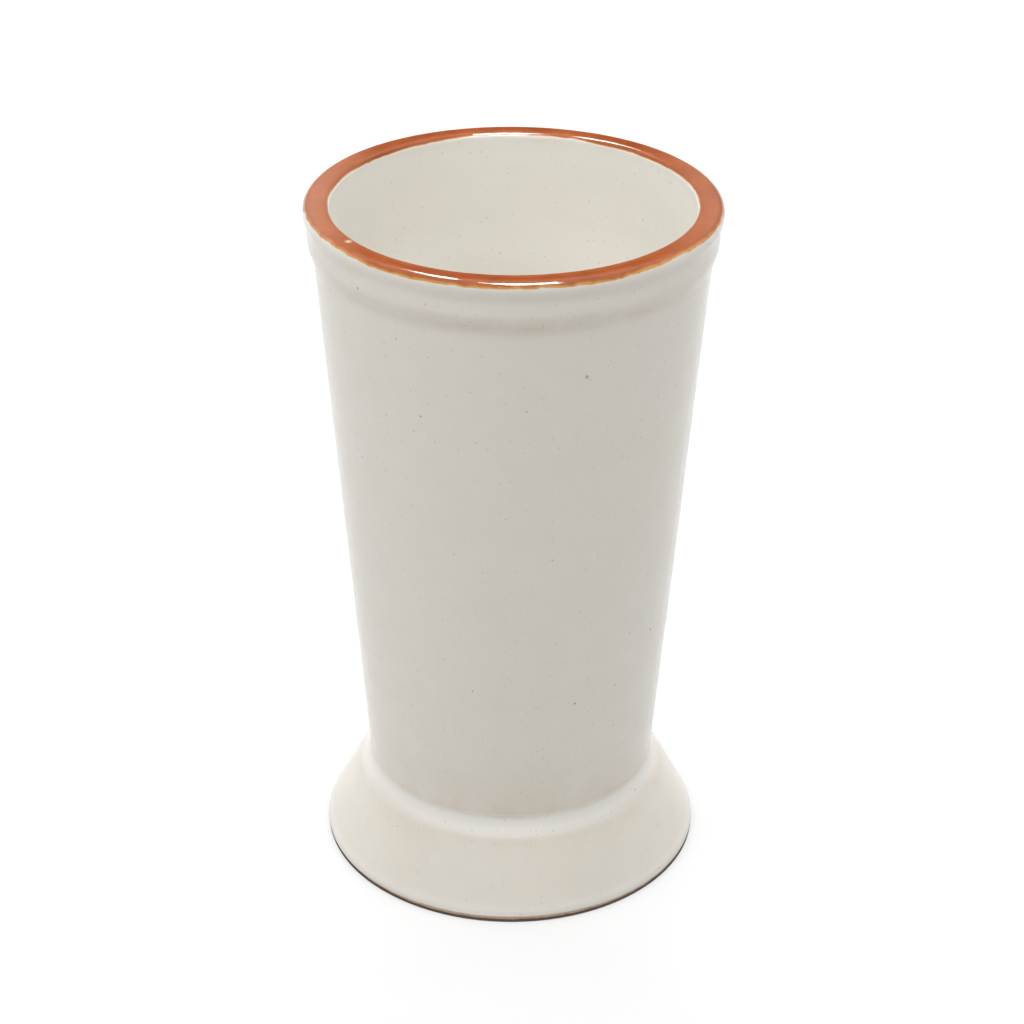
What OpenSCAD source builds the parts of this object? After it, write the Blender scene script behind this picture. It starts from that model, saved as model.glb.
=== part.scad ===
// Footed clay cup, thrown and glazed.
// Clay pieces luted together before firing, and the coats of glaze that cover them.
// Origin at the middle of the foot's standing face, +Z up, millimetres.

/* [Cup] */
// Height from the table to the top of the lip
cup_h = 142.1; // [125:0.1:160]
// Outside diameter at the lip
lip_d = 80; // [79:0.1:90]

/* [Wall] */
// Outside diameter of the wall where it meets the ledge of the foot
waist_d = 58.9; // [54:0.1:62]
// Thickness of the floor's clay
floor_t = 5; // [4:0.1:8]
// Thickness of the wall's clay where it reaches the floor
wall_low_t = 4; // [3:0.1:6]
// Radius between the inside of the wall and the floor
well_round = 8; // [4:0.5:12]

/* [Collar] */
// Height of the collar, lip included
collar_h = 11; // [9:0.1:16]
// How far the collar stands out past the wall
collar_out = 1.2; // [0.6:0.1:1.8]
// How far the lip stands out past the collar
lip_out = 0.6; // [0.2:0.1:1.2]
// Height of the sloping underside of the collar
collar_step_h = 3.8; // [2:0.1:4.5]
// Radius that rounds the collar over to its underside
collar_round = 5; // [1:0.1:6]
// Radius of the hollow where the collar meets the wall
neck_round = 1; // [0.5:0.1:2]
// Height over which the collar flares out to the lip
flare_h = 3; // [1:0.1:3.2]
// Width across the top of the lip
lip_w = 5.1; // [4:0.1:6]
// Radius of the lip's outer corner
lip_out_round = 1.6; // [1:0.1:2.2]
// Radius of the lip's inner corner
lip_in_round = 1.4; // [1:0.1:1.7]
// Rise of the bevelled seat between wall and collar
seat_rise = 3; // [1:0.1:4]

/* [Foot] */
// Outside diameter of the foot at the lower edge of its glaze
foot_d = 77.6; // [70:0.1:84]
// Height of the foot's shoulder
shoulder_h = 15.5; // [12:0.1:18]
// Width of the ledge between the wall and the foot's shoulder
ledge_w = 2.1; // [1.8:0.1:4]
// Slope of the ledge above the shoulder, in degrees from upright
ledge_slope = 40; // [30:1:50]
// Radius of the shoulder's edge
shoulder_round = 1.6; // [0.8:0.1:2]
// Radius of the hollow where the ledge turns up into the wall
waist_round = 3; // [1.5:0.1:4]
// Height over which the skirt's lower edge is rounded
toe_h = 0.6; // [0.3:0.1:1.5]
// Width of the foot ring that stands on the table
ring_w = 4.4; // [3:0.1:6]
// Bevel of the ring's two edges
ring_bevel = 0.3; // [0.2:0.1:0.5]
// How far the ring stands out past the lower edge of the glaze
ring_out = 0.2; // [0:0.1:0.4]
// Bare clay left below the glaze of the foot
bare_h = 1.3; // [0.6:0.1:2]
// Width of the foot's seat under the body
foot_seat_w = 3.4; // [2.5:0.1:5]

/* [Glaze] */
// Thickness of each coat
glaze_t = 0.45; // [0.3:0.05:0.6]
// Radius of the glaze pooled in the corner under the body
pool_round = 3; // [1:0.1:4]
// Where the lip's band ends outside, in degrees round the corner from level
band_out_angle = 38; // [10:1:70]
// Where the lip's band ends inside, in degrees round the corner from level
band_in_angle = 40; // [10:1:70]

/* [Hidden] */
$fn = 128;

// Points on each rounded corner, and on the flare of the collar
round_steps = 8;
flare_steps = 8;

lip_r = lip_d / 2;
collar_r = lip_r - lip_out;
neck_r = collar_r - collar_out;
waist_r = waist_d / 2;
foot_r = foot_d / 2;
shoulder_r = waist_r + ledge_w;

// Heights of the wall's two ends
neck_h = cup_h - collar_h;
corner_h = shoulder_h + ledge_w / tan(ledge_slope);
bore_r = lip_r - lip_w;

// Points on an arc about a centre, from one angle to another
function arc(centre, r, from, to) =
    [for (i = [0:round_steps]) let (a = from + (to - from) * i / round_steps) centre + r * [cos(a), sin(a)]];

// Points that round the corner b between the lines from a and to c
function rounded(a, b, c, r) =
    let (u = (a - b) / norm(a - b), v = (c - b) / norm(c - b), half = acos(u * v) / 2)
    let (centre = b + (u + v) / norm(u + v) * r / sin(half))
    let (p = b + u * r / tan(half) - centre, q = b + v * r / tan(half) - centre)
    let (from = atan2(p[1], p[0]), turn = (atan2(q[1], q[0]) - from + 540) % 360 - 180)
    arc(centre, r, from, from + turn);

function reversed(points) = [for (i = [len(points) - 1:-1:0]) points[i]];

// Share of a soft step from 0 to 1, level at both ends
function soft(t) = (1 - cos(180 * t)) / 2;

// Outlines run over the finished cup as [radius, height]. Each takes the depth below the
// finished surface, 0 for the glaze's face and glaze_t for the clay's.

// Skirt of the foot, from the bare ring up to the end of the shoulder's edge
function skirt_line(depth) =
    let (low = [foot_r, bare_h], toe = [foot_r, bare_h + toe_h])
    let (shoulder = [shoulder_r, shoulder_h], corner = [waist_r, corner_h])
    let (slope = atan2(foot_r - shoulder_r, shoulder_h - toe[1]))
    [for (p = concat(rounded(low, toe, shoulder, toe_h / tan(slope / 2)),
        rounded(toe, shoulder, corner, shoulder_round))) p - [depth, 0]];

// Ledge and the hollow that turns up into the wall
function waist_line(depth) =
    [for (p = rounded([shoulder_r, shoulder_h], [waist_r, corner_h], [neck_r, neck_h], waist_round))
        p - [depth, 0]];

// Underside and face of the collar, flaring out to the lip's outer corner
function collar_line(depth) =
    let (neck = [neck_r, neck_h], under = [collar_r, neck_h + collar_step_h])
    let (flare = [collar_r, cup_h - lip_out_round - flare_h])
    [for (p = concat(
        rounded([waist_r, corner_h], neck, under, neck_round),
        rounded(neck, under, flare, collar_round),
        [for (i = [0:flare_steps]) let (t = i / flare_steps) flare + [(lip_r - collar_r) * soft(t), flare_h * t]]))
        p - [depth, 0]];

function lip_out_arc(depth, from, to) =
    arc([lip_r - lip_out_round, cup_h - lip_out_round], lip_out_round - depth, from, to);

function lip_in_arc(depth, from, to) =
    arc([bore_r + lip_in_round, cup_h - lip_in_round], lip_in_round - depth, from, to);

// Inside of the wall's radius at a height
function bore_at(h) = well_r + (bore_r - well_r) * (h - floor_h) / (cup_h - lip_in_round - floor_h);

// Inside, from the lip's inner corner down to the middle of the floor
function well_line(depth) =
    let (top = [bore_r + depth, cup_h - lip_in_round])
    let (corner = [bore_at(floor_h - depth) + depth, floor_h - depth])
    concat([top], rounded(top, corner, [0, floor_h - depth], well_round + depth), [[0, floor_h - depth]]);

// The body rests on the foot where the shoulder's edge ends
skirt_end = skirt_line(0)[len(skirt_line(0)) - 1];
base_h = skirt_end[1];
floor_h = base_h + floor_t + glaze_t;

// Outside of the wall's radius at a height, carried on down behind the joint
function wall_at(h) = waist_r + (neck_r - waist_r) * (h - corner_h) / (neck_h - corner_h);
base_r = wall_at(base_h) - glaze_t;
well_r = wall_at(floor_h) - 2 * glaze_t - wall_low_t;

// Outside of the ring and side of the hollow under the foot
ring_r = foot_r + ring_out;
ring_in_r = foot_r - glaze_t - ring_w - ring_bevel;
hollow_r = base_r - foot_seat_w;
function hollow_at(h) = ring_in_r + (hollow_r - ring_in_r) * (h - ring_bevel) / (base_h - ring_bevel);

module turned(points) rotate_extrude() polygon(points);

// Coat between the finished face and the clay's face of one outline
module coat(face, back) turned(concat(face, reversed(back)));

// Thrown wall and floor, with a bevelled top edge that carries the collar
module cup_body()
    color("tan")
    turned(concat(
        [[0, base_h], [base_r, base_h], seat_low, seat_top],
        [for (p = well_line(glaze_t)) if (p[1] < seat_top[1]) p]));
seat_low = collar_line(glaze_t)[0];
seat_top = [bore_at(seat_low[1] + seat_rise) + glaze_t, seat_low[1] + seat_rise];

// Collar and lip, luted on the wall's edge
module rim_collar()
    color("tan")
    turned(concat(
        collar_line(glaze_t),
        lip_out_arc(glaze_t, 0, 90),
        lip_in_arc(glaze_t, 90, 180),
        [seat_top]));

// Flared hollow foot with a bevelled standing ring, which carries the lower edge of the glaze
module pedestal_foot()
    color("peru")
    turned(concat(
        [[ring_in_r, ring_bevel], [ring_in_r + ring_bevel, 0], [ring_r - ring_bevel, 0],
            [ring_r, ring_bevel], [foot_r, bare_h]],
        skirt_line(glaze_t),
        [[hollow_r, base_h]]));

// Coil of soft clay in the corner between body and foot, smoothed to the ledge
module joint_coil()
    color("tan")
    turned(concat([skirt_end - [glaze_t, 0]], waist_line(glaze_t), [[base_r, base_h]]));

module liner_glaze()
    color("gainsboro")
    coat(concat(lip_in_arc(0, 180 - band_in_angle, 180), well_line(0)),
        concat(lip_in_arc(glaze_t, 180 - band_in_angle, 180), well_line(glaze_t)));

module outside_glaze()
    color("lightgray")
    coat(concat([waist_top], collar_line(0), lip_out_arc(0, 0, band_out_angle)),
        concat([waist_top - [glaze_t, 0]], collar_line(glaze_t), lip_out_arc(glaze_t, 0, band_out_angle)));
waist_top = waist_line(0)[round_steps];

module foot_glaze()
    color("whitesmoke")
    coat(concat(skirt_line(0), waist_line(0)), concat(skirt_line(glaze_t), waist_line(glaze_t)));

// Coat in the hollow, wiped off the standing ring, thicker where it pools in the corner
module base_glaze()
    color("gainsboro")
    turned(concat(
        [[0, base_h], [hollow_r, base_h], [hollow_at(wipe_h), wipe_h]],
        [[hollow_at(wipe_h) - glaze_t, wipe_h]],
        rounded([hollow_at(wipe_h) - glaze_t, wipe_h], [hollow_at(base_h - glaze_t) - glaze_t, base_h - glaze_t],
            [0, base_h - glaze_t], pool_round),
        [[0, base_h - glaze_t]]));
wipe_h = bare_h + ring_bevel;

module lip_glaze()
    color("chocolate")
    coat(concat(lip_out_arc(0, band_out_angle, 90), lip_in_arc(0, 90, 180 - band_in_angle)),
        concat(lip_out_arc(glaze_t, band_out_angle, 90), lip_in_arc(glaze_t, 90, 180 - band_in_angle)));

cup_body();
rim_collar();
pedestal_foot();
joint_coil();
liner_glaze();
outside_glaze();
foot_glaze();
base_glaze();
lip_glaze();
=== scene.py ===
# %% [markdown]
# A footed cup, thrown in clay and glazed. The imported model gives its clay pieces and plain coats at
# their real size. This lesson dresses them: it makes the coats that show as a potter's hand and the
# kiln leave them, mixes the glazes and the bare clay as node materials, and sets up a small white
# studio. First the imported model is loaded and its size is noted, because nothing made later may
# change it.

# %% Load the frame
import math
import bpy
import mathutils
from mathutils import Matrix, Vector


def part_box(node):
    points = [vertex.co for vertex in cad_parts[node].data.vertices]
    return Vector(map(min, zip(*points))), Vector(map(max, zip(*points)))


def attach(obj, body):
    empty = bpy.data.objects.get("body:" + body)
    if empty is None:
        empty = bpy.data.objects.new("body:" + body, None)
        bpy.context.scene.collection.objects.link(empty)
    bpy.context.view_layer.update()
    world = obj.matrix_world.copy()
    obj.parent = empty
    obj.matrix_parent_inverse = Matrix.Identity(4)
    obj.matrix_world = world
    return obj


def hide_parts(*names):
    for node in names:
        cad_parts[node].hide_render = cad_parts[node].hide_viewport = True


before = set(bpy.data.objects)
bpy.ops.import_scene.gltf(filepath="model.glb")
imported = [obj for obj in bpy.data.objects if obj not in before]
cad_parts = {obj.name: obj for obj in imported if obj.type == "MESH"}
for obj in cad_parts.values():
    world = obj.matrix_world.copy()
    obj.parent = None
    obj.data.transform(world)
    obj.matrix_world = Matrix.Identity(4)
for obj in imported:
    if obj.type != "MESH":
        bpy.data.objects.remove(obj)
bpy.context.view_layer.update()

# %% [markdown]
# The sizes, in metres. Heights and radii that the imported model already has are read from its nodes.
# Those that their boxes can't show, such as the radius of a rounded corner, are written out after them.

# %% Read the sizes of the clay cup
MM = 0.001
glaze_t = 0.45 * MM

lip_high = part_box("lip_glaze")[1]
foot_low, foot_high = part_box("foot_glaze")
wall_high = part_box("outside_glaze")[1]
well_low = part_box("liner_glaze")[0]

cup_h = lip_high[2]
lip_r = wall_high[0]
foot_r = foot_high[0]
bare_h = foot_low[2]
floor_h = well_low[2] + glaze_t
print("height, lip radius, foot radius, mm:", [round(v / MM, 2) for v in (cup_h, lip_r, foot_r)])

# %% [markdown]
# The glaze's face lies one coat's thickness outside the clay. Its outline is a row of runs that meet
# in rounded corners, so each size here places a run or rounds a corner. The foot and the ledge come
# first, then the collar and the lip, and last the inside.

# %% Name the sizes of the finished surface
waist_r = 29.45 * MM
shoulder_h = 15.5 * MM
ledge_w = 2.1 * MM
ledge_slope = math.radians(40)
shoulder_round = 1.6 * MM
waist_round = 3 * MM
toe_h = 0.6 * MM

collar_h = 11 * MM
collar_out = 1.2 * MM
lip_out = 0.6 * MM
collar_step_h = 3.8 * MM
collar_round = 5 * MM
neck_round = 1 * MM
flare_h = 3 * MM
lip_w = 5.1 * MM
lip_out_round = 1.6 * MM
lip_in_round = 1.4 * MM
well_round = 8 * MM
wall_low_t = 4 * MM

collar_r = lip_r - lip_out
neck_r = collar_r - collar_out
neck_h = cup_h - collar_h
bore_r = lip_r - lip_w
shoulder_r = waist_r + ledge_w
corner_h = shoulder_h + ledge_w / math.tan(ledge_slope)
print("ledge from, to, mm:", round(shoulder_h / MM, 2), round(corner_h / MM, 2))

# %% [markdown]
# The camera stands in front of the cup and looks down on it at about 29 degrees, with a long lens, as
# for a catalogue picture. Its place was fitted to the photograph's ellipses of rim and foot, so the
# cup falls on the same spot of the frame. The frame is square, 1024 by 1024.

# %% Place the camera
camera_place = mathutils.Vector((-0.00006, -0.4613, 0.3296))
camera_pitch = 0.506
camera_yaw = 0.0002
camera_roll = 0.0057
focal_px = 2600
frame_px = 1024

ahead = mathutils.Vector((math.sin(camera_yaw) * math.cos(camera_pitch),
                          math.cos(camera_yaw) * math.cos(camera_pitch),
                          -math.sin(camera_pitch)))
level = mathutils.Vector((math.cos(camera_yaw), -math.sin(camera_yaw), 0))
below = ahead.cross(level)
across = math.cos(camera_roll) * level - math.sin(camera_roll) * below
down = math.sin(camera_roll) * level + math.cos(camera_roll) * below

camera_data = bpy.data.cameras.new("camera")
camera_data.sensor_width = 36
camera_data.lens = focal_px / frame_px * camera_data.sensor_width
camera = bpy.data.objects.new("camera", camera_data)
bpy.context.collection.objects.link(camera)
turn = mathutils.Matrix((across, -down, -ahead)).transposed()
camera.matrix_world = mathutils.Matrix.Translation(camera_place) @ turn.to_4x4()
bpy.context.scene.camera = camera
bpy.context.scene.view_settings.view_transform = "Standard"
print("lens, mm:", round(camera_data.lens, 2))

# %% [markdown]
# Helpers for nodes. A material is a small tree: add puts in a node and sets its sockets by name, wire
# joins an output to an input, and show leads the last shader to the tree's output. Keeping them this
# short lets each recipe read like a recipe. A value that a helper works out is handed on as a pair of
# node and output, which wire takes with a star.

# %% Helpers for node trees


def add(tree, kind, settings=None, **sockets):
    """Puts a node in the tree, sets its settings and the values of its sockets."""
    made = tree.nodes.new(kind)
    for name, value in (settings or {}).items():
        setattr(made, name, value)
    for name, value in sockets.items():
        made.inputs[name.replace("_", " ")].default_value = value
    return made


def wire(tree, source, output, target, socket):
    """Joins an output of one node to an input of another."""
    tree.links.new(source.outputs[output], target.inputs[socket])


def show(tree, shader, kind="ShaderNodeOutputMaterial"):
    """Leads a shader to the tree's output."""
    wire(tree, shader, 0, add(tree, kind), "Surface")


def sight_rays(tree):
    """1 for a ray that sees, straight or in a gloss or through glass, and 0 for light that bounces."""
    rays = add(tree, "ShaderNodeLightPath")
    seen = add(tree, "ShaderNodeMath", {"operation": "ADD", "use_clamp": True})
    seen_too = add(tree, "ShaderNodeMath", {"operation": "ADD", "use_clamp": True})
    wire(tree, rays, "Is Camera Ray", seen, 0)
    wire(tree, rays, "Is Glossy Ray", seen, 1)
    wire(tree, seen, "Value", seen_too, 0)
    wire(tree, rays, "Is Transmission Ray", seen_too, 1)
    return (seen_too, "Value")


def grey(value):
    """A grey as a colour."""
    return (value, value, value, 1)


def blank_material(name):
    """A material with an empty tree."""
    material = bpy.data.materials.new(name)
    material.use_nodes = True
    material.node_tree.nodes.clear()
    return material, material.node_tree


# %% [markdown]
# The studio. The cup stands on a white sweep: a broad disc whose rim is let down a step. The floor is
# lit and shaded as any floor, so that the cup's soft shadow lies on it, and what the camera sees of it
# is lifted to white by a share of plain white. The glaze mirrors that share, but it never lights the
# cup. The light that bounces up comes from a darker grey, or the underside of every form would glow.

# %% Make the floor
floor_r = 0.8
floor_edge = 0.02
white_share = 0.58
floor_tone = 0.80
bounce_tone = 0.5

bpy.ops.object.select_all(action="DESELECT")
bpy.ops.mesh.primitive_circle_add(vertices=96, radius=floor_r, fill_type="NGON", location=(0, 0, 0))
floor = bpy.context.object
floor.name = "studio_floor"
bpy.ops.object.mode_set(mode="EDIT")
bpy.ops.mesh.select_all(action="SELECT")
bpy.ops.mesh.inset(thickness=floor_edge)
bpy.ops.mesh.select_all(action="INVERT")
bpy.ops.mesh.extrude_region_move(TRANSFORM_OT_translate={"value": (0, 0, -floor_edge)})
bpy.ops.object.mode_set(mode="OBJECT")

floor_paint, tree = blank_material("studio_white")
sight = sight_rays(tree)
tone = add(tree, "ShaderNodeMix", {"data_type": "RGBA"})
tone.inputs[6].default_value = grey(bounce_tone)
tone.inputs[7].default_value = grey(floor_tone)
wire(tree, *sight, tone, 0)
surface = add(tree, "ShaderNodeBsdfPrincipled", Roughness=0.7, Specular_IOR_Level=0.1)
wire(tree, tone, 2, surface, "Base Color")
plain = add(tree, "ShaderNodeEmission", Strength=1.0)
share = add(tree, "ShaderNodeMath", {"operation": "MULTIPLY"})
share.inputs[1].default_value = white_share
wire(tree, *sight, share, 0)
blend = add(tree, "ShaderNodeMixShader")
wire(tree, share, "Value", blend, "Fac")
wire(tree, surface, "BSDF", blend, 1)
wire(tree, plain, "Emission", blend, 2)
show(tree, blend)
floor.data.materials.append(floor_paint)
print("floor faces:", len(floor.data.polygons))

# %% [markdown]
# The light. Large soft boxes stand round the cup as the walls of a light tent, a little stronger at
# the left. They only fill, so the glaze doesn't mirror them: the camera and the reflections see the
# world as plain white instead, as inside a tent of white cloth. Two more lamps do nothing but glint,
# and draw the short bright streaks on the lip: a broad one high over the front, and a narrow, slanted
# one behind at the left.

# %% Light the cup
world_fill = 0.04
world = bpy.data.worlds.new("studio_world")
bpy.context.scene.world = world
world.use_nodes = True
tree = world.node_tree
tree.nodes.clear()
fill = add(tree, "ShaderNodeBackground", Color=grey(1), Strength=world_fill)
white = add(tree, "ShaderNodeBackground", Color=grey(1), Strength=1.0)
blend = add(tree, "ShaderNodeMixShader")
wire(tree, *sight_rays(tree), blend, "Fac")
wire(tree, fill, "Background", blend, 1)
wire(tree, white, "Background", blend, 2)
show(tree, blend, "ShaderNodeOutputWorld")

lamp_aim = mathutils.Vector((0, 0, 0.06))
lamp_far = 1.2


def soft_box(name, azimuth, elevation, width, depth, watts, glint=False, roll=0):
    """A rectangular lamp that faces the cup. Angles are in degrees, azimuth from the front to the right."""
    around = math.radians(azimuth)
    up = math.radians(elevation)
    way = mathutils.Vector((math.cos(up) * math.sin(around), -math.cos(up) * math.cos(around), math.sin(up)))
    data = bpy.data.lights.new(name, "AREA")
    data.shape = "RECTANGLE"
    data.size = width
    data.size_y = depth
    data.energy = watts
    lamp = bpy.data.objects.new(name, data)
    bpy.context.collection.objects.link(lamp)
    turned_to = way.to_track_quat("Z", "Y").to_matrix().to_4x4()
    rolled = mathutils.Matrix.Rotation(math.radians(roll), 4, "Z")
    lamp.matrix_world = mathutils.Matrix.Translation(lamp_aim + lamp_far * way) @ turned_to @ rolled
    lamp.visible_glossy = glint
    lamp.visible_diffuse = not glint
    print(name, "watts:", watts)


soft_box("box_front", 0, 38, 0.9, 0.9, 3.9)
soft_box("box_front_left", -35, 38, 0.9, 0.9, 2.1)
soft_box("box_left", -75, 48, 0.9, 0.9, 6.2)
soft_box("box_right", 75, 45, 0.9, 0.9, 5.8)
soft_box("box_back_left", -155, 40, 1.1, 1.0, 9.3)
soft_box("box_back_right", 155, 40, 1.1, 1.0, 8.0)
soft_box("box_top", 0, 88, 0.8, 0.8, 2.0)
soft_box("panel_above", 14, 77, 0.44, 0.66, 36.0, glint=True)
soft_box("panel_left", -160, 59, 0.09, 0.58, 5.6, glint=True, roll=-28)

# %% [markdown]
# A glossy surface that faces up mirrors what stands behind it, and a tent that is white all round
# would wash the amber out to pink. Photographers hang dark cloth out of view for this. It is a band
# round the tent here, made from a circle whose edge is drawn up, and only reflections see it.

# %% Hang the dark cloth
cloth_r = 1.5
cloth_low = 0.25
cloth_high = 1.5
cloth_tone = 0.02

bpy.ops.object.select_all(action="DESELECT")
bpy.ops.mesh.primitive_circle_add(vertices=64, radius=cloth_r, location=(0, 0, cloth_low))
cloth = bpy.context.object
cloth.name = "dark_cloth"
bpy.ops.object.mode_set(mode="EDIT")
bpy.ops.mesh.select_all(action="SELECT")
bpy.ops.mesh.extrude_region_move(TRANSFORM_OT_translate={"value": (0, 0, cloth_high - cloth_low)})
bpy.ops.object.mode_set(mode="OBJECT")
cloth.visible_camera = False
cloth.visible_diffuse = False
cloth.visible_transmission = False
cloth.visible_shadow = False
cloth_paint, tree = blank_material("dark_cloth")
show(tree, add(tree, "ShaderNodeBsdfDiffuse", Color=grey(cloth_tone)))
cloth.data.materials.append(cloth_paint)
print("dark cloth faces:", len(cloth.data.polygons))

# %% [markdown]
# The outline of the finished cup is drawn as a template for a potter's profile: points of radius and
# height, with every corner rounded. One helper rounds a corner with an arc, and another shares points
# out evenly along a line, so that the rings of the mesh lie as close as the finest ripple needs.

# %% Helpers for outlines
round_steps = 8


def arc(centre, radius, first, last, steps=round_steps):
    """Points on an arc about a centre."""
    angles = [first + (last - first) * i / steps for i in range(steps + 1)]
    return [(centre[0] + radius * math.cos(a), centre[1] + radius * math.sin(a)) for a in angles]


def rounded(a, b, c, radius, steps=round_steps):
    """Points on the arc that rounds the corner b between the lines from a and to c."""
    a, b, c = (mathutils.Vector(p) for p in (a, b, c))
    u = (a - b).normalized()
    v = (c - b).normalized()
    half = u.angle(v) / 2
    centre = b + (u + v).normalized() * radius / math.sin(half)
    start = b + u * radius / math.tan(half) - centre
    end = b + v * radius / math.tan(half) - centre
    first = math.atan2(start.y, start.x)
    sweep = (math.atan2(end.y, end.x) - first + 3 * math.pi) % (2 * math.pi) - math.pi
    return arc(centre, radius, first, first + sweep, steps)


def spaced(points, step):
    """Points shared out evenly along a line of points, about a step apart."""
    lengths = [math.dist(a, b) for a, b in zip(points, points[1:])]
    count = max(1, round(sum(lengths) / step))
    result = []
    for k in range(count + 1):
        left = sum(lengths) * k / count
        i = 0
        while i < len(lengths) - 1 and left > lengths[i]:
            left -= lengths[i]
            i += 1
        share = min(1, left / lengths[i]) if lengths[i] else 0
        a, b = points[i], points[i + 1]
        result.append((a[0] + (b[0] - a[0]) * share, a[1] + (b[1] - a[1]) * share))
    return result


def soft(t):
    """A soft step from 0 to 1."""
    return (1 - math.cos(math.pi * t)) / 2


# %% [markdown]
# On the real cup the body is thrown and the coats of glaze follow every rise of the clay. The outline
# runs in four parts: the skirt of the foot, the ledge and waist, the wall and collar, and the inside.

# %% Draw the outline
flare_steps = 8
well_steps = 14

foot_toe = (foot_r, bare_h + toe_h)
foot_shoulder = (shoulder_r, shoulder_h)
foot_corner = (waist_r, corner_h)
wall_top = (neck_r, neck_h)
under = (collar_r, neck_h + collar_step_h)
flare = (collar_r, cup_h - lip_out_round - flare_h)
skirt_slope = math.atan2(foot_r - shoulder_r, shoulder_h - foot_toe[1])

toe_arc = rounded((foot_r, bare_h), foot_toe, foot_shoulder, toe_h / math.tan(skirt_slope / 2))
shoulder_arc = rounded(foot_toe, foot_shoulder, foot_corner, shoulder_round)
waist_arc = rounded(foot_shoulder, foot_corner, wall_top, waist_round)
neck_arc = rounded(foot_corner, wall_top, under, neck_round)
under_arc = rounded(wall_top, under, flare, collar_round)
flare_line = [(collar_r + (lip_r - collar_r) * soft(i / flare_steps), flare[1] + flare_h * i / flare_steps)
              for i in range(flare_steps + 1)]
lip_out_centre = (lip_r - lip_out_round, cup_h - lip_out_round)
lip_in_centre = (bore_r + lip_in_round, cup_h - lip_in_round)
lip_outer = arc(lip_out_centre, lip_out_round, 0, math.pi / 2)
lip_inner = arc(lip_in_centre, lip_in_round, math.pi / 2, math.pi)

wall_lean = (neck_r - waist_r) / (neck_h - corner_h)
well_r = waist_r + wall_lean * (floor_h - corner_h) - 2 * glaze_t - wall_low_t
bore_top = (bore_r, cup_h - lip_in_round)
well_arc = rounded(bore_top, (well_r, floor_h), (0, floor_h), well_round, well_steps)
print("radius of the well at the floor, mm:", round(well_r / MM, 2))

# %% [markdown]
# A thrown piece is a profile turned round an axis, so the mesh is made as on the wheel. A tiny plane
# is merged to one vertex at the profile's start, the vertex is extruded from point to point, and the
# chain is spun a full turn. Doubles are merged where the turn closes and at the middle of a floor.
# The outward side is set before the coat gets its thickness.

# %% Turn a profile
merge_gap = 0.002 * MM
smooth_angle = math.radians(40)


def pick_one(obj):
    """Only this object is selected and active."""
    bpy.ops.object.select_all(action="DESELECT")
    obj.select_set(True)
    bpy.context.view_layer.objects.active = obj


def turned(name, outline, segments):
    """Spins a profile round the cup's axis and returns the open surface."""
    bpy.ops.object.select_all(action="DESELECT")
    start = (outline[0][0], 0, outline[0][1])
    bpy.ops.mesh.primitive_plane_add(size=MM, location=start)
    obj = bpy.context.object
    obj.name = name
    obj.data.name = name
    bpy.ops.object.transform_apply(location=True, rotation=True, scale=True)
    bpy.ops.object.mode_set(mode="EDIT")
    bpy.ops.mesh.select_all(action="SELECT")
    bpy.ops.mesh.merge(type="CENTER")
    for a, b in zip(outline, outline[1:]):
        step = (b[0] - a[0], 0, b[1] - a[1])
        bpy.ops.mesh.extrude_region_move(TRANSFORM_OT_translate={"value": step})
    bpy.ops.mesh.select_all(action="SELECT")
    bpy.ops.mesh.spin(steps=segments, angle=2 * math.pi, center=(0, 0, 0), axis=(0, 0, 1))
    bpy.ops.mesh.select_all(action="SELECT")
    bpy.ops.mesh.remove_doubles(threshold=merge_gap)
    bpy.ops.mesh.normals_make_consistent(inside=False)
    bpy.ops.object.mode_set(mode="OBJECT")
    return obj


def face_side(obj, inward):
    """Turns all faces to look away from the axis, or towards it and up for the inside."""
    total = 0
    for face in obj.data.polygons:
        out_way = face.center.x * face.normal.x + face.center.y * face.normal.y
        total += face.area * (out_way - (face.normal.z * cup_h if inward else 0))
    if (total < 0) != inward:
        pick_one(obj)
        bpy.ops.object.mode_set(mode="EDIT")
        bpy.ops.mesh.select_all(action="SELECT")
        bpy.ops.mesh.flip_normals()
        bpy.ops.object.mode_set(mode="OBJECT")


def thicken(obj, thickness):
    """Gives a coat its thickness, behind the face that shows."""
    pick_one(obj)
    shell = obj.modifiers.new("thickness", "SOLIDIFY")
    shell.thickness = thickness
    shell.offset = -1
    shell.use_even_offset = True
    bpy.ops.object.modifier_apply(modifier=shell.name)
    bpy.ops.object.shade_smooth_by_angle(angle=smooth_angle)
    print(obj.name, "triangles:", sum(len(p.vertices) - 2 for p in obj.data.polygons))


# %% [markdown]
# A hand leaves its trace on every thrown pot: fine rings where the fingers climbed the wall, and a
# slow unevenness where nothing is quite round or level. Displace modifiers with cloud textures give
# both. All pieces read the same texture at the same place of the cup, so where two coats meet they
# still meet. An empty with a tall or a flat scale stretches a cloud into streaks or rings.

# %% Helpers for the hand's trace


def cloud(name, depth):
    """A soft cloud texture for a displacement."""
    texture = bpy.data.textures.new(name, "CLOUDS")
    texture.noise_scale = 1.0
    texture.noise_depth = depth
    return texture


def stretched(name, sideways, upright):
    """An empty whose scale sets how wide and how high the clouds of a texture are."""
    handle = bpy.data.objects.new(name, None)
    handle.scale = (sideways, sideways, upright)
    bpy.context.collection.objects.link(handle)
    return handle


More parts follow.
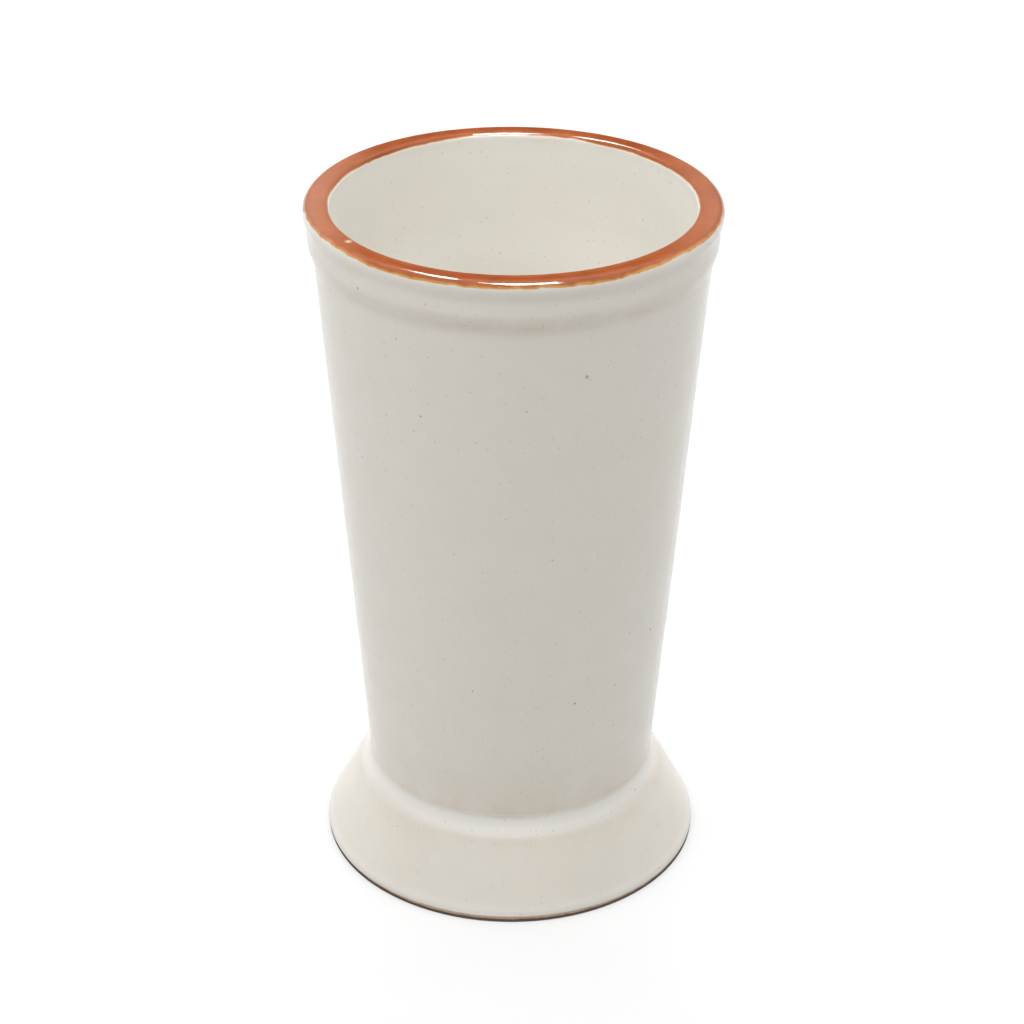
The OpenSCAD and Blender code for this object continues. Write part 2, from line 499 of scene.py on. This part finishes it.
def press(obj, texture, handle, strength, group=""):
    """Presses a texture into the surface and applies it. Says how far it moved the surface."""
    before = [v.co.copy() for v in obj.data.vertices]
    pick_one(obj)
    push = obj.modifiers.new("press", "DISPLACE")
    push.texture = texture
    push.texture_coords = "OBJECT"
    push.texture_coords_object = handle
    push.strength = strength
    push.mid_level = 0.5
    push.direction = "NORMAL"
    push.vertex_group = group
    bpy.ops.object.modifier_apply(modifier=push.name)
    moved = [(v.co - b).length for v, b in zip(obj.data.vertices, before)]
    print(obj.name, texture.name, "moved at most, mm:", round(max(moved) / MM, 3))


ring_cloud = cloud("ring_cloud", 1)
slow_cloud = cloud("slow_cloud", 0)
ring_handle = stretched("ring_handle", 300 * MM, 8 * MM)
slow_handle = stretched("slow_handle", 45 * MM, 60 * MM)
fine_handle = stretched("fine_handle", 14 * MM, 3 * MM)
bpy.context.view_layer.update()
ring_strength = 0.12 * MM
slow_strength = 0.2 * MM
fine_strength = 0.012 * MM
wider_share = 0.0032
narrower_share = 0.004


def hand_thrown(obj):
    """The slow unevenness, the rings, the fine ripple of the glaze, and the oval of the whole cup."""
    press(obj, slow_cloud, slow_handle, slow_strength)
    press(obj, ring_cloud, ring_handle, ring_strength)
    press(obj, ring_cloud, fine_handle, fine_strength)
    pick_one(obj)
    bpy.ops.object.mode_set(mode="EDIT")
    bpy.ops.mesh.select_all(action="SELECT")
    bpy.ops.transform.resize(value=(1 + wider_share, 1 - narrower_share, 1), center_override=(0, 0, 0))
    bpy.ops.object.mode_set(mode="OBJECT")


# %% [markdown]
# The outside coat covers the wall and the collar, and runs on under the amber band to the crown of
# the lip, because the potter dips the cup first and bands the lip after. Each coat is a hair thinner
# than the space over the clay, so that the two never share a face.

# %% Make the outside coat
segments = 192
wall_step = 0.9 * MM
collar_step = 0.35 * MM
clay_gap = 0.01 * MM
coat_t = glaze_t - clay_gap

wall_points = spaced([waist_arc[-1], neck_arc[0]], wall_step)
collar_points = spaced(neck_arc + under_arc + flare_line + lip_outer[1:], collar_step)
outside = turned("outside_coat", wall_points + collar_points[1:], segments)
face_side(outside, inward=False)
hand_thrown(outside)
thicken(outside, coat_t)

# %% [markdown]
# The liner is poured in, swirled and poured out. It covers the inside from the crown of the lip down
# to the floor, whose corner is softly rounded by the potter's rib.

# %% Make the liner
crown_step = 0.3 * MM
bore_step = 1.0 * MM
well_step = 1.2 * MM

crown_points = spaced([lip_outer[-1]] + lip_inner, crown_step)
bore_points = spaced([lip_inner[-1], well_arc[0]], bore_step)
well_points = spaced(well_arc + [(0, floor_h)], well_step)
liner = turned("liner_coat", crown_points + bore_points[1:] + well_points[1:], segments)
face_side(liner, inward=True)
hand_thrown(liner)
thicken(liner, coat_t)

# %% [markdown]
# The foot was thrown apart and has a coat of its own. The glaze ran down the skirt and stopped in a
# low roll above the bare ring, and it pooled in the hollow of the ledge. Its upper edge laps a little
# over the coat of the wall. Low humps in the outline make the skirt's belly, the roll and the pool,
# and a few points curl the edge round under the roll, as a drop of glaze does.

# %% Draw the foot's coat
skirt_step = 0.4 * MM
ledge_step = 0.25 * MM
belly_out = 0.1 * MM
belly_h = 9 * MM
belly_reach = 7 * MM
roll_out = 0.09 * MM
roll_h = bare_h + 1.1 * MM
roll_reach = 1.4 * MM
pool_out = 0.08 * MM
lap_h = 1.2 * MM
lap_in = 0.12 * MM
lap_out = 0.1 * MM
curl_steps = ((-coat_t, 0), (-0.1 * MM, -0.16 * MM), (0.04 * MM, -0.2 * MM), (0.1 * MM, -0.08 * MM))


def swell(point, middle, reach, amount):
    """Moves a point outwards by a smooth hump round a height."""
    far = abs(point[1] - middle) / reach
    lift = amount * soft(1 - far) if far < 1 else 0
    return (point[0] + lift, point[1])


skirt_points = spaced(toe_arc + [shoulder_arc[0]], skirt_step)
skirt_points = [swell(p, belly_h, belly_reach, belly_out) for p in skirt_points]
skirt_points = [swell(p, roll_h, roll_reach, roll_out) for p in skirt_points]
curl = [(foot_r + out, bare_h + up) for out, up in curl_steps]
ledge_points = spaced(shoulder_arc + waist_arc, ledge_step)
pool_middle = (waist_arc[0][1] + waist_arc[-1][1]) / 2
ledge_points = [swell(p, pool_middle, ledge_w, pool_out) for p in ledge_points]
lap_end = (waist_arc[-1][0] + wall_lean * lap_h - lap_in, waist_arc[-1][1] + lap_h)
lap_middle = (waist_arc[-1][0] + wall_lean * lap_h / 2 + lap_out / 2, waist_arc[-1][1] + lap_h / 2)
lap_points = spaced([ledge_points[-1], lap_middle, lap_end], ledge_step)
print("rings of the foot's coat:", len(skirt_points + ledge_points + lap_points))

# %% [markdown]
# The lap's edge isn't a true circle on the real foot. A vertex group holds the rings above the ledge,
# so that a small cloud roughens only these.

# %% Make the foot's coat
lap_cloud = cloud("lap_cloud", 2)
lap_handle = stretched("lap_handle", 3 * MM, 3 * MM)
lap_strength = 0.16 * MM
bpy.context.view_layer.update()

foot_coat = turned("foot_coat", curl + skirt_points[1:] + ledge_points[1:] + lap_points[1:], segments)
face_side(foot_coat, inward=False)
lap_group = foot_coat.vertex_groups.new(name="lap")
top_rings = [v.index for v in foot_coat.data.vertices if v.co.z > waist_arc[-1][1]]
lap_group.add(top_rings, 1.0, "REPLACE")
press(foot_coat, lap_cloud, lap_handle, lap_strength, group="lap")
hand_thrown(foot_coat)
thicken(foot_coat, coat_t)

# %% [markdown]
# The amber band is a thin second glaze on the lip. Where its thickness runs out it meets the white in
# a ragged line. So the band is turned with its surface rising out of the white coat from both edges
# and clouds roughen it there: where it dips under the white, the white shows. The two edges aren't
# level. They are stops round the lip, each an azimuth, with the front at -90, and an angle on the lip's
# rounded corner, where 0 is level outside and 180 level inside, all in degrees.

# %% Draw the amber band
band_lift = 0.07 * MM
band_sink = 0.14 * MM
out_first = math.radians(-12)
in_last = math.radians(178)
band_segments = 512
band_steps = 24
band_step = 0.13 * MM
outer_reach = math.radians(34)
inner_reach = math.radians(17)

outer_stops = ((-180, 5), (-168, 38), (-150, 46), (-118, 22), (-72, 21), (-35, 40), (-12, 30), (0, 4),
               (40, 24), (90, 14), (140, 26), (180, 5))
inner_stops = ((-180, 142), (-90, 150), (0, 142), (30, 150), (58, 152), (74, 136), (104, 136), (122, 150),
               (140, 158), (160, 148), (180, 142))

band_outer = arc(lip_out_centre, lip_out_round, out_first, math.pi / 2, band_steps)
band_inner = arc(lip_in_centre, lip_in_round, math.pi / 2, in_last, band_steps)
band_points = spaced(band_outer + band_inner, band_step)
band = turned("lip_band", band_points, band_segments)
face_side(band, inward=False)
print("rings of the amber band:", len(band_points))


def corner_angle(point):
    """The angle of a point of the lip on its rounded corner, from level outside to level inside."""
    radius = math.hypot(point.x, point.y)
    if radius > lip_out_centre[0]:
        return math.atan2(point.z - lip_out_centre[1], radius - lip_out_centre[0])
    if radius < lip_in_centre[0]:
        return math.atan2(point.z - lip_in_centre[1], radius - lip_in_centre[0])
    return math.pi / 2


def edge_angle(stops, azimuth):
    """Where the amber ends at an azimuth, softly between the two nearest stops."""
    here = math.degrees(azimuth)
    for (a, first), (b, second) in zip(stops, stops[1:]):
        if a <= here <= b:
            return math.radians(first + (second - first) * soft((here - a) / (b - a)))
    return math.radians(stops[-1][1])


def edge_rise(turned_by, reach):
    """Height of the amber over the white: full inside an edge, none at it, deep under it beyond."""
    t = max(-1, min(1, turned_by / reach))
    return band_lift * t if t > 0 else band_sink * t


# %% [markdown]
# Each point of the band is raised by the lower of two slopes, one from each edge. The clouds press
# hardest where the amber is thin. How many millimetres it then stands over the white is kept at each
# point as the attribute "cover", for the material, because thin amber turns ochre.

# %% Raise the amber band
rough = band.vertex_groups.new(name="rough")
calm_share = 0.75
ragged_strength = 0.09 * MM
run_strength = ragged_strength / 3
band_t = 0.25 * MM
ragged_cloud = cloud("ragged_cloud", 2)
ragged_handle = stretched("ragged_handle", 3.2 * MM, 2.2 * MM)
run_handle = stretched("run_handle", 1.1 * MM, 1.1 * MM)
bpy.context.view_layer.update()

base_places = [v.co.copy() for v in band.data.vertices]
base_normals = [v.normal.copy() for v in band.data.vertices]
for vertex, normal in zip(band.data.vertices, base_normals):
    angle = corner_angle(vertex.co)
    azimuth = math.atan2(vertex.co.y, vertex.co.x)
    rise = min(edge_rise(angle - edge_angle(outer_stops, azimuth), outer_reach),
               edge_rise(edge_angle(inner_stops, azimuth) - angle, inner_reach))
    rough.add([vertex.index], 1 - calm_share * max(0, rise / band_lift), "REPLACE")
    vertex.co += normal * rise
press(band, ragged_cloud, ragged_handle, ragged_strength, group="rough")
press(band, ragged_cloud, run_handle, run_strength, group="rough")

cover = band.data.attributes.new("cover", "FLOAT", "POINT")
for vertex, place, normal in zip(band.data.vertices, base_places, base_normals):
    cover.data[vertex.index].value = (vertex.co - place).dot(normal) / MM
hand_thrown(band)
thicken(band, band_t)

# %% [markdown]
# The white glaze. On the real cup it is a satin white over a brown clay, a little warmer here and
# cooler there. It is whiter where it pooled, and pink or ochre where an edge or a hollow left it thin.
# In the wall's hollows that pink is also painted shade, and inside the cup the pool's white is also
# painted light.
# Iron in the clay burns through as tan pinholes, many fine ones and a few coarse ones. A picture could
# be wrapped round the cup, but a recipe in nodes stays sharp from near and far and has no seam. It
# reads the place on the cup, so heights can be given in real millimetres.

# %% Helpers for glaze recipes
least_dot = -0.2
dot_edge = 0.35


def height_of(tree, place, wobble_size, wobble):
    """The height on the cup in metres, made a little uneven by a cloud."""
    split = add(tree, "ShaderNodeSeparateXYZ")
    wire(tree, place, "Object", split, "Vector")
    noise = add(tree, "ShaderNodeTexNoise", Scale=1 / wobble_size, Detail=3)
    wire(tree, place, "Object", noise, "Vector")
    shift = add(tree, "ShaderNodeMath", {"operation": "MULTIPLY_ADD"})
    wire(tree, noise, "Fac", shift, 0)
    shift.inputs[1].default_value = 2 * wobble
    shift.inputs[2].default_value = -wobble
    total = add(tree, "ShaderNodeMath", {"operation": "ADD"})
    wire(tree, split, "Z", total, 0)
    wire(tree, shift, "Value", total, 1)
    return (total, "Value")


def ramp(tree, source, stops):
    """A colour ramp over a range of values. Stops are (value, grey or colour), from low to high."""
    low = stops[0][0]
    high = stops[-1][0]
    span = add(tree, "ShaderNodeMapRange", From_Min=low, From_Max=high)
    wire(tree, *source, span, "Value")
    made = add(tree, "ShaderNodeValToRGB")
    wire(tree, span, "Result", made, "Fac")
    points = made.color_ramp.elements
    while len(points) < len(stops):
        points.new(0.5)
    for point, (value, tone) in zip(points, stops):
        point.position = (value - low) / (high - low)
        point.color = grey(tone) if isinstance(tone, float) else (*tone, 1)
    return (made, "Color")


def mixed(tree, factor, first, second):
    """Mixes two colours. Each is a tuple or a pair of node and output, and the factor is such a pair."""
    made = add(tree, "ShaderNodeMix", {"data_type": "RGBA"})
    for index, value in ((6, first), (7, second)):
        if hasattr(value[0], "outputs"):
            wire(tree, *value, made, index)
        else:
            made.inputs[index].default_value = (*value, 1)
    wire(tree, *factor, made, 0)
    return (made, 2)


def times(tree, factor, other):
    """A factor times a number or another factor."""
    made = add(tree, "ShaderNodeMath", {"operation": "MULTIPLY"})
    wire(tree, *factor, made, 0)
    if isinstance(other, tuple):
        wire(tree, *other, made, 1)
    else:
        made.inputs[1].default_value = other
    return (made, "Value")


def clouds(tree, place, size, detail=3, roughness=0.5, low=0.35, high=0.65):
    """A cloud of a given size on the cup, spread out between 0 and 1."""
    noise = add(tree, "ShaderNodeTexNoise", Scale=1 / size, Detail=detail, Roughness=roughness)
    wire(tree, place, "Object", noise, "Vector")
    span = add(tree, "ShaderNodeMapRange", From_Min=low, From_Max=high)
    wire(tree, noise, "Fac", span, "Value")
    return (span, "Result")


def pinholes(tree, place, spread, radius, share):
    """Round dots with soft edges and their own sizes. A size under 0 leaves its cell empty."""
    cells = add(tree, "ShaderNodeTexVoronoi", Scale=1 / spread)
    wire(tree, place, "Object", cells, "Vector")
    chance = add(tree, "ShaderNodeSeparateColor")
    wire(tree, cells, "Color", chance, "Color")
    size = add(tree, "ShaderNodeMapRange", {"clamp": False}, From_Min=1 - share, From_Max=1,
               To_Min=least_dot * radius / spread, To_Max=radius / spread)
    wire(tree, chance, "Red", size, "Value")
    left = add(tree, "ShaderNodeMath", {"operation": "SUBTRACT"})
    wire(tree, size, "Result", left, 0)
    wire(tree, cells, "Distance", left, 1)
    dot = add(tree, "ShaderNodeMapRange", From_Min=0, From_Max=dot_edge * radius / spread)
    wire(tree, left, "Value", dot, "Value")
    return (dot, "Result")


def near(tree, place, spot, radius, softness=0.5):
    """1 at one spot of the cup and 0 further off than a radius."""
    far = add(tree, "ShaderNodeVectorMath", {"operation": "DISTANCE"})
    wire(tree, place, "Object", far, 0)
    far.inputs[1].default_value = spot
    made = add(tree, "ShaderNodeMapRange", From_Min=radius, From_Max=radius * (1 - softness))
    wire(tree, far, "Value", made, "Value")
    return (made, "Result")


def darker(tone, share):
    """A tone that keeps a share of its light."""
    return tuple(share * v for v in tone)


def finish(tree, colour, relief, strength, distance, **sockets):
    """The shader with its colour and a fine relief, led to the output."""
    surface = add(tree, "ShaderNodeBsdfPrincipled", **sockets)
    wire(tree, *colour, surface, "Base Color")
    bump = add(tree, "ShaderNodeBump", Strength=strength, Distance=distance)
    wire(tree, *relief, bump, "Height")
    wire(tree, bump, "Normal", surface, "Normal")
    show(tree, surface)
    return surface


# %% [markdown]
# The tones are shares of red, green and blue light. The inside has some of its own, because it lies in
# its own shade and bounce. Four large specks are listed one by one, each with its place on the cup,
# its radius and its tone, and all others are left to chance.

# %% Name the tones of the white glaze
outer_cool = (0.782, 0.757, 0.702)
outer_warm = (0.780, 0.733, 0.648)
inner_cool = (0.770, 0.757, 0.708)
inner_warm = (0.766, 0.735, 0.670)
white_pool = (0.805, 0.788, 0.745)
# Painted light: the inside's pool tone is lighter than the outside's, for the shade and bounce inside the
# cup; partly the liner is really whiter.
inner_pool_and_light = (0.833, 0.813, 0.757)
thin_pink_and_shade = (0.66, 0.545, 0.425)
thin_ochre_and_shade = (0.55, 0.40, 0.25)
hole_tan = (0.53, 0.33, 0.12)
hole_brown = (0.36, 0.19, 0.07)
hole_dark = (0.22, 0.11, 0.05)
big_specks = (((0.0128, -0.0290, 0.0466), 0.4 * MM, hole_dark),
              ((0.0136, -0.0349, 0.1215), 0.5 * MM, hole_tan),
              ((-0.0171, -0.0326, 0.1120), 0.4 * MM, hole_brown),
              ((-0.0110, -0.0336, 0.1030), 0.36 * MM, hole_brown))
print("specks placed by hand:", len(big_specks))

# %% [markdown]
# The recipe. Clouds of three sizes mottle the white. Two ramps over the height then say where the
# glaze is thin and the clay warms it, and where it pooled and is whiter. Pinholes of three sizes come
# on top. The roughness follows the middle cloud, so the satin isn't even, and the two larger sizes of
# pinhole are sunk a little into a fine ripple.

# %% Mix the white glaze
smoothest = 0.12
roughest = 0.26
pit_depth = 1.5
thin_power = 3.0
speck_strength = 0.8


def white_glaze(name, cool_tone, warm_tone, thin_and_shade_stops, pool_and_light_stops, pool_and_light_tone):
    """The white glaze. Two lists of stops say at which heights it is thin or pooled, and so where it is also
    painted shade or painted light.
    """
    material, tree = blank_material(name)
    place = add(tree, "ShaderNodeTexCoord")
    height = height_of(tree, place, 6 * MM, 0.35 * MM)

    broad = clouds(tree, place, 16 * MM, low=0.2, high=0.8)
    small = clouds(tree, place, 5 * MM, low=0.15, high=0.85)
    grain = clouds(tree, place, 0.8 * MM, detail=2, low=0.2, high=0.8)
    colour = mixed(tree, broad, cool_tone, warm_tone)
    colour = mixed(tree, times(tree, small, 0.5), colour, darker(warm_tone, 0.93))
    colour = mixed(tree, times(tree, grain, 0.2), colour, darker(warm_tone, 0.9))

    uneven = clouds(tree, place, 9 * MM, roughness=0.6, low=0.25, high=0.6)
    # Thin glaze turns the white pink, and ochre where thinnest. In the wall's hollows over the ledge and
    # under the collar this is also painted shade.
    thin_and_shade = times(tree, ramp(tree, height, thin_and_shade_stops), uneven)
    colour = mixed(tree, thin_and_shade, colour, thin_pink_and_shade)
    thinnest_and_shade = add(tree, "ShaderNodeMath", {"operation": "POWER"})
    wire(tree, *thin_and_shade, thinnest_and_shade, 0)
    thinnest_and_shade.inputs[1].default_value = thin_power
    colour = mixed(tree, (thinnest_and_shade, "Value"), colour, thin_ochre_and_shade)
    # Pooled glaze turns whiter. Inside the cup this whiter white is also painted light.
    colour = mixed(tree, ramp(tree, height, pool_and_light_stops), colour, pool_and_light_tone)

    fine = pinholes(tree, place, spread=1.1 * MM, radius=0.22 * MM, share=0.85)
    middle = pinholes(tree, place, spread=2.6 * MM, radius=0.28 * MM, share=0.6)
    coarse = pinholes(tree, place, spread=7 * MM, radius=0.34 * MM, share=0.35)
    holes = ((fine, 0.45, hole_tan), (middle, 0.6, hole_tan), (coarse, 0.7, hole_brown))
    for dots, strength, tone in holes:
        colour = mixed(tree, times(tree, dots, strength), colour, tone)
    for spot, radius, tone in big_specks:
        speck = times(tree, near(tree, place, spot, radius), speck_strength)
        colour = mixed(tree, speck, colour, tone)

    ripple = clouds(tree, place, 3 * MM, detail=2, low=0.2, high=0.8)
    pits = add(tree, "ShaderNodeMath", {"operation": "MAXIMUM"})
    wire(tree, *middle, pits, 0)
    wire(tree, *coarse, pits, 1)
    relief = add(tree, "ShaderNodeMath", {"operation": "MULTIPLY_ADD"})
    wire(tree, pits, "Value", relief, 0)
    relief.inputs[1].default_value = -pit_depth
    wire(tree, *ripple, relief, 2)
    surface = finish(tree, colour, (relief, "Value"), 0.3, 0.02 * MM, Specular_IOR_Level=0.5)
    gloss = add(tree, "ShaderNodeMapRange", To_Min=smoothest, To_Max=roughest)
    wire(tree, *small, gloss, "Value")
    wire(tree, gloss, "Result", surface, "Roughness")
    print(name, "nodes:", len(tree.nodes))
    return material


# %% [markdown]
# Where the white is thin and where it pooled, as stops of height and share. The wall's coat is thin
# just above the ledge and in the hollow under the collar, and there its pink is also painted shade for
# the shadow of these hollows. The foot's coat pooled on the ledge and in the roll above the ring, and
# is thin on the shoulder's edge and where it laps the wall. The inside is whitest about 30 mm below
# the lip, partly from a thicker liner and partly as painted light.

# %% Mix the white of wall, foot and inside
# Painted shade: pink at the wall's foot above the ledge and in the hollow under the collar.
wall_thin_and_shade = [(16.7 * MM, 0.3), (19.1 * MM, 0.4), (19.9 * MM, 0.6), (20.7 * MM, 0.34), (24.7 * MM, 0.2),
             (31.7 * MM, 0.05), (36.7 * MM, 0.0), (129.6 * MM, 0.0), (131.1 * MM, 0.12),
             (132.7 * MM, 0.42), (134.2 * MM, 0.2), (135.8 * MM, 0.0), (cup_h, 0.0)]
wall_pool = [(0.0, 0.0), (16.7 * MM, 0.0), (cup_h, 0.0)]
foot_thin = [(0.0, 0.4), (1.8 * MM, 0.06), (3.7 * MM, 0.06), (11.7 * MM, 0.1), (14.4 * MM, 0.24),
             (15.6 * MM, 0.34), (16.9 * MM, 0.15), (18.6 * MM, 0.0), (19.6 * MM, 0.35), (21.2 * MM, 0.3),
             (22.7 * MM, 0.25)]
foot_pool = [(0.0, 0.0), (1.6 * MM, 0.4), (2.6 * MM, 0.4), (4 * MM, 0.0), (14.6 * MM, 0.0),
             (16.6 * MM, 0.8), (18.4 * MM, 0.8), (19.8 * MM, 0.0), (20.7 * MM, 0.0)]
inside_thin = [(0.0, 0.1), (20.7 * MM, 0.2), (60.7 * MM, 0.05), (139.9 * MM, 0.0), (140.7 * MM, 0.25),
               (cup_h, 0.2)]
# Painted light: the inside is made whiter over most of its height, most about 30 mm below the lip.
inside_pool_and_light = [(0.0, 0.3), (60 * MM, 0.6), (113 * MM, 1.0), (118 * MM, 0.75), (125 * MM, 0.0),
               (134 * MM, 0.1), (138 * MM, 0.4), (cup_h, 0.3)]

wall_white = white_glaze("white_glaze_wall", outer_cool, outer_warm, wall_thin_and_shade, wall_pool, white_pool)
foot_white = white_glaze("white_glaze_foot", outer_cool, outer_warm, foot_thin, foot_pool, white_pool)
inside_white = white_glaze("white_glaze_inside", inner_cool, inner_warm, inside_thin, inside_pool_and_light,
                           inner_pool_and_light)

# %% [markdown]
# The amber. It is an iron glaze, rust red where it is thick and yellow ochre where it thins out to
# the white. Its thickness comes from the attribute "cover". A slow cloud makes it lighter and darker
# along the lip, and a finer one breaks the colour as iron does. It is painted paler at the cup's two
# sides, as a painted reflection of the white tent where the lip turns away. A broken dark line of
# painted shade runs along the crest at the front and the back, and one small spot was missed.

# %% Mix the amber glaze
amber_deep = (0.305, 0.074, 0.023)
amber_warm = (0.44, 0.120, 0.042)
amber_crest_shade = (0.25, 0.055, 0.016)
amber_orange = (0.50, 0.17, 0.050)
amber_ochre = (0.71, 0.335, 0.105)
amber_cream = (0.77, 0.60, 0.42)
amber_side_reflection = (0.54, 0.28, 0.19)
crest_r = 37.4 * MM
missed_spot = (-0.0302, -0.0211, 0.1421)
missed_r = 0.9 * MM

edge_stops = [(-0.02, amber_cream), (0.0, amber_ochre), (0.014, amber_ochre), (0.034, amber_orange),
              (0.07, amber_warm)]
deep_stops = [(0.0, 0.0), (0.03, 0.0), (0.062, 1.0), (0.07, 1.0)]
side_reflection_stops = [(-lip_r, 0.55), (-37 * MM, 0.5), (-26 * MM, 0.0), (26 * MM, 0.0), (37 * MM, 0.35),
              (lip_r, 0.35)]
crest_stops = [(0.0, 0.0), (crest_r - 0.9 * MM, 0.0), (crest_r, 1.0), (crest_r + 0.8 * MM, 0.0),
               (lip_r, 0.0)]
shown_stops = [(0.0, 1.0), (20 * MM, 1.0), (33 * MM, 0.0), (lip_r, 0.0)]

amber_glaze, tree = blank_material("amber_glaze")
place = add(tree, "ShaderNodeTexCoord")
thickness = add(tree, "ShaderNodeAttribute", {"attribute_name": "cover"})
stain = clouds(tree, place, 7 * MM, detail=4, roughness=0.6, low=0.3, high=0.7)
iron = clouds(tree, place, 1.1 * MM, roughness=0.6, low=0.3, high=0.7)
body_colour = mixed(tree, stain, amber_deep, amber_warm)
body_colour = mixed(tree, times(tree, iron, 0.3), body_colour, amber_deep)
edge_colour = ramp(tree, (thickness, "Fac"), edge_stops)
deep = ramp(tree, (thickness, "Fac"), deep_stops)
colour = mixed(tree, deep, edge_colour, body_colour)

split = add(tree, "ShaderNodeSeparateXYZ")
wire(tree, place, "Object", split, "Vector")
# Painted reflection: the amber is made paler and pinker towards both sides of the cup, more at the left.
side_reflection = ramp(tree, (split, "X"), side_reflection_stops)
colour = mixed(tree, side_reflection, colour, amber_side_reflection)

# Painted shade: a broken dark line along the crest of the lip, drawn only at the front and the back.
flat = add(tree, "ShaderNodeVectorMath", {"operation": "MULTIPLY"})
wire(tree, place, "Object", flat, 0)
flat.inputs[1].default_value = (1, 1, 0)
from_axis = add(tree, "ShaderNodeVectorMath", {"operation": "LENGTH"})
wire(tree, flat, "Vector", from_axis, 0)
sideways = add(tree, "ShaderNodeMath", {"operation": "ABSOLUTE"})
wire(tree, split, "X", sideways, 0)
crest = ramp(tree, (from_axis, "Value"), crest_stops)
broken = clouds(tree, place, 10 * MM, roughness=0.6, low=0.25, high=0.6)
shown = ramp(tree, (sideways, "Value"), shown_stops)
crest_shade = times(tree, times(tree, crest, broken), shown)
colour = mixed(tree, times(tree, crest_shade, 0.6), colour, amber_crest_shade)
missed = near(tree, place, missed_spot, missed_r, softness=0.9)
colour = mixed(tree, times(tree, missed, 0.9), colour, amber_cream)

ripple = clouds(tree, place, 1.8 * MM, detail=2, low=0.2, high=0.8)
finish(tree, colour, ripple, 0.3, 0.03 * MM, Roughness=0.07, Specular_IOR_Level=0.45)
print("amber_glaze nodes:", len(tree.nodes))

# %% [markdown]
# The bare clay shows only on the ring that the cup stands on: a matte, light brown body with sandy
# grain. Its lower part is painted nearly black: partly clay scorched next to the kiln shelf, partly
# painted contact shadow where the ring meets the floor.

# %% Mix the bare clay
clay_brown = (0.50, 0.32, 0.20)
clay_pale = (0.62, 0.46, 0.33)
clay_dark = (0.20, 0.11, 0.06)
clay_scorched_and_shadow = (0.035, 0.026, 0.022)
scorch_and_shadow_stops = [(0.0, 1.0), (0.6 * bare_h, 1.0), (0.75 * bare_h, 0.0), (bare_h, 0.0)]

bare_clay, tree = blank_material("bare_clay")
place = add(tree, "ShaderNodeTexCoord")
patches = clouds(tree, place, 8 * MM, detail=4, roughness=0.6, low=0.3, high=0.7)
sand = clouds(tree, place, 0.5 * MM, roughness=0.7, low=0.3, high=0.7)
grit = pinholes(tree, place, spread=1.6 * MM, radius=0.2 * MM, share=0.5)
scorch_and_shadow = ramp(tree, height_of(tree, place, 2 * MM, 0.15 * MM), scorch_and_shadow_stops)
colour = mixed(tree, patches, clay_brown, clay_pale)
colour = mixed(tree, times(tree, sand, 0.45), colour, clay_dark)
colour = mixed(tree, times(tree, grit, 0.7), colour, clay_pale)
# Painted shadow with the scorch: the lowest part of the ring is darkened nearly to black.
colour = mixed(tree, times(tree, scorch_and_shadow, 0.9), colour, clay_scorched_and_shadow)
finish(tree, colour, sand, 0.6, 0.08 * MM, Roughness=0.85)
print("bare_clay nodes:", len(tree.nodes))

# %% [markdown]
# Each new coat takes its glaze, rides on the cup's one body and replaces the plain coat of the same
# place. The clay pieces and the coat in the hollow of the foot keep their own shapes, and only get a
# better finish. The empties that placed the clouds have done their work and go.

# %% Dress the cup
dressing = ((outside, wall_white, "pale_glaze", "outside_glaze"),
            (liner, inside_white, "pale_glaze", "liner_glaze"),
            (foot_coat, foot_white, "pale_glaze", "foot_glaze"),
            (band, amber_glaze, "amber_glaze", "lip_glaze"))
for piece, material, slot, node in dressing:
    piece.data.materials.append(material)
    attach(piece, "root")
    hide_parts(node)
    print(piece.name, "replaces", node)
for name in ("cup_body", "rim_collar", "pedestal_foot", "joint_coil"):
    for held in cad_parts[name].material_slots:
        held.material = bare_clay
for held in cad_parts["base_glaze"].material_slots:
    held.material = foot_white
for handle in (ring_handle, slow_handle, fine_handle, lap_handle, ragged_handle, run_handle):
    bpy.data.objects.remove(handle)
